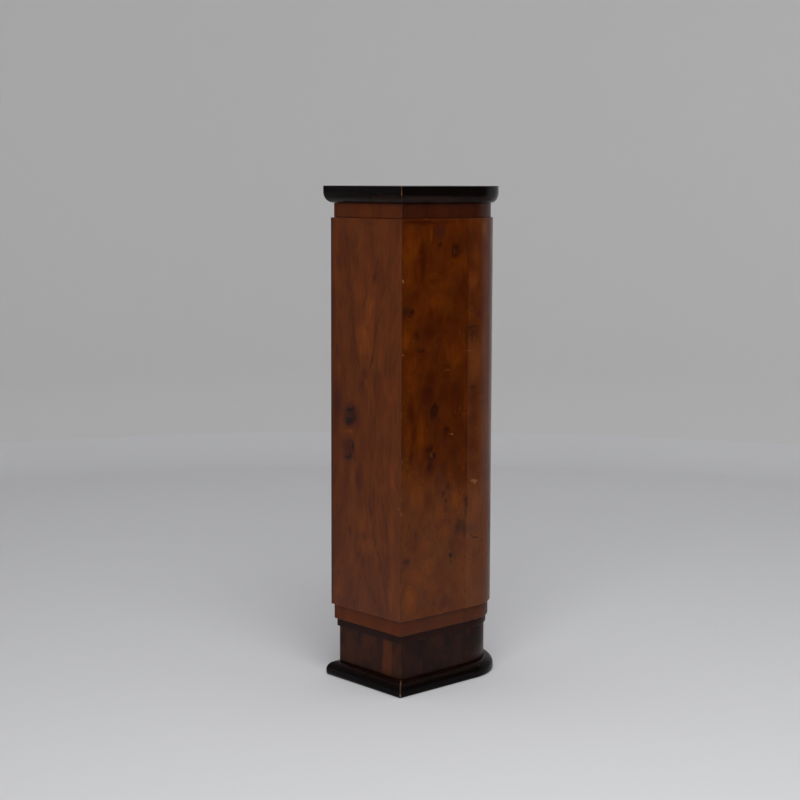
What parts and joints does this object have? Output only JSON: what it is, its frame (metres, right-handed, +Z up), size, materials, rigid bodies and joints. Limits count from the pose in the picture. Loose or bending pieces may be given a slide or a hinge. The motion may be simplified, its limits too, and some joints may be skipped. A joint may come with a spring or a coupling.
{
  "type": "wooden display pedestal",
  "caption": "Tall veneered wooden pedestal with a flat back, a half-round front, stepped bands, and a black cap and base moulding.",
  "frame": {"origin": "on the floor, at the centre of the plan's bounding box", "axes": "+Z up; the flat back faces +Y and the half-round front faces -Y"},
  "size_m": [0.257, 0.364, 1.1],
  "materials": {
    "ebonised_wood": "worn black lacquer, satin",
    "burr_veneer": "polished figured veneer",
    "walnut_veneer": "satin straight-grained veneer",
    "dark_stained_wood": "worn dark stain, satin"
  },
  "bodies": {
    "root": {"cap": "ebonised_wood", "neck_band": "walnut_veneer", "shaft": "burr_veneer", "lower_band": "walnut_veneer", "fillet": "dark_stained_wood", "plinth": "dark_stained_wood", "base_moulding": "ebonised_wood"}
  },
  "joints": []
}
